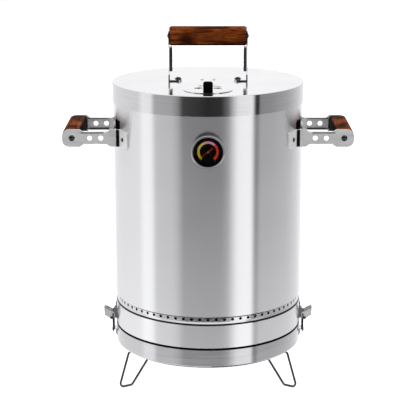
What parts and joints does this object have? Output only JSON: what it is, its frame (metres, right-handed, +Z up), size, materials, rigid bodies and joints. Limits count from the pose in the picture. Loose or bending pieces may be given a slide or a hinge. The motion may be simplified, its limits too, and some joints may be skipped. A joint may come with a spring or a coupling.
{
  "type": "vertical water smoker",
  "caption": "Cylindrical stainless vertical water smoker with flat lid, thermometer, three wooden grips, toggle latches, draught holes and three wire legs.",
  "frame": {"origin": "on the floor, under the axis of the barrel", "axes": "+Z up, -Y towards the thermometer at the front, +X to the right seen from the front"},
  "size_m": [0.4532, 0.3237, 0.5722],
  "materials": {
    "brushed_stainless": "brushed round the barrel",
    "polished_stainless": "polished",
    "pressed_stainless": "satin pressed sheet",
    "leg_wire": "drawn steel wire",
    "grate_wire": "bright plated wire",
    "enamel": "black vitreous enamel",
    "gasket": "matt black high-temperature seal",
    "hardwood": "oiled dark hardwood",
    "black_tab": "black heat-resistant moulding",
    "dial_face": "printed black dial",
    "needle_red": "red painted pointer",
    "lens_glass": "clear flat glass"
  },
  "bodies": {
    "base": {"base_bowl": "polished_stainless", "base_gasket": "gasket", "front_left_leg": "leg_wire", "front_right_leg": "leg_wire", "rear_leg": "leg_wire", "left_catch": "pressed_stainless", "right_catch": "pressed_stainless", "left_catch_rivets": "pressed_stainless", "right_catch_rivets": "pressed_stainless"},
    "charcoal": {"charcoal_bowl": "enamel", "charcoal_bowl_feet": "enamel", "charcoal_grate": "grate_wire"},
    "barrel": {"barrel_shell": "brushed_stainless", "upper_rack_brackets": "pressed_stainless", "lower_rack_brackets": "pressed_stainless", "pan_rack_brackets": "pressed_stainless", "left_front_arm": "pressed_stainless", "right_front_arm": "pressed_stainless", "left_rear_arm": "pressed_stainless", "right_rear_arm": "pressed_stainless", "left_grip": "hardwood", "right_grip": "hardwood", "left_grip_screws": "pressed_stainless", "right_grip_screws": "pressed_stainless", "left_arm_rivets": "pressed_stainless", "right_arm_rivets": "pressed_stainless", "thermometer_case": "polished_stainless", "thermometer_bezel": "polished_stainless", "thermometer_lens": "lens_glass", "thermometer_dial": "dial_face", "thermometer_probe": "pressed_stainless", "thermometer_nut": "pressed_stainless", "left_latch_base": "pressed_stainless", "right_latch_base": "pressed_stainless", "left_latch_base_rivets": "pressed_stainless", "right_latch_base_rivets": "pressed_stainless", "left_latch_pin": "pressed_stainless", "right_latch_pin": "pressed_stainless"},
    "needle": {"thermometer_needle": "needle_red"},
    "lid": {"lid_shell": "polished_stainless", "lid_left_post": "pressed_stainless", "lid_right_post": "pressed_stainless", "lid_grip": "hardwood", "lid_grip_screws": "pressed_stainless", "lid_post_bolts": "pressed_stainless", "lid_post_nuts": "pressed_stainless", "lid_hanger": "pressed_stainless", "lid_hanger_rivets": "pressed_stainless", "vent_rivet": "pressed_stainless", "vent_stop_rivet": "pressed_stainless"},
    "damper": {"vent_disc": "polished_stainless", "vent_tab": "black_tab"},
    "upper_grate": {"upper_grate": "grate_wire"},
    "lower_grate": {"lower_grate": "grate_wire"},
    "water_pan": {"water_pan": "enamel"},
    "left_lever": {"left_latch_lever": "pressed_stainless"},
    "right_lever": {"right_latch_lever": "pressed_stainless"},
    "left_bail": {"left_latch_bail": "pressed_stainless"},
    "right_bail": {"right_latch_bail": "pressed_stainless"}
  },
  "joints": [
    {"name": "lid_lift", "type": "slide", "parent": "barrel", "child": "lid", "axis": [0, 0, 1], "range_m": [0, 0.2]},
    {"name": "barrel_lift", "type": "slide", "parent": "base", "child": "barrel", "axis": [0, 0, 1], "range_m": [0, 0.25]},
    {"name": "damper_turn", "type": "hinge", "parent": "lid", "child": "damper", "pos_m": [0, -0.093, 0.4874], "axis": [0, 0, 1], "range_deg": [0, 60]},
    {"name": "needle_turn", "type": "hinge", "parent": "barrel", "child": "needle", "pos_m": [0, -0.1546, 0.404], "axis": [0, 1, 0], "range_deg": [0, 269], "stiffness_Nm_per_rad": 0.0005},
    {"name": "left_latch_open", "type": "hinge", "parent": "barrel", "child": "left_lever", "pos_m": [-0.1588, 0, 0.0945], "axis": [0, -1, 0], "range_deg": [0, 115]},
    {"name": "right_latch_open", "type": "hinge", "parent": "barrel", "child": "right_lever", "pos_m": [0.1588, 0, 0.0945], "axis": [0, 1, 0], "range_deg": [0, 115]},
    {"name": "left_bail_swing", "type": "hinge", "parent": "left_lever", "child": "left_bail", "pos_m": [-0.156, 0, 0.101], "axis": [0, -1, 0], "range_deg": [-120, 5]},
    {"name": "right_bail_swing", "type": "hinge", "parent": "right_lever", "child": "right_bail", "pos_m": [0.156, 0, 0.101], "axis": [0, 1, 0], "range_deg": [-120, 5]},
    {"name": "upper_grate_lift", "type": "slide", "parent": "barrel", "child": "upper_grate", "axis": [0, 0, 1], "range_m": [0, 0.05]},
    {"name": "lower_grate_lift", "type": "slide", "parent": "barrel", "child": "lower_grate", "axis": [0, 0, 1], "range_m": [0, 0.06]},
    {"name": "water_pan_lift", "type": "slide", "parent": "barrel", "child": "water_pan", "axis": [0, 0, 1], "range_m": [0, 0.025]},
    {"name": "charcoal_lift", "type": "slide", "parent": "base", "child": "charcoal", "axis": [0, 0, 1], "range_m": [0, 0.05]}
  ],
  "couplings": [
    {"joint": "left_bail_swing", "follows": "left_latch_open", "ratio": -1},
    {"joint": "right_bail_swing", "follows": "right_latch_open", "ratio": -1}
  ]
}
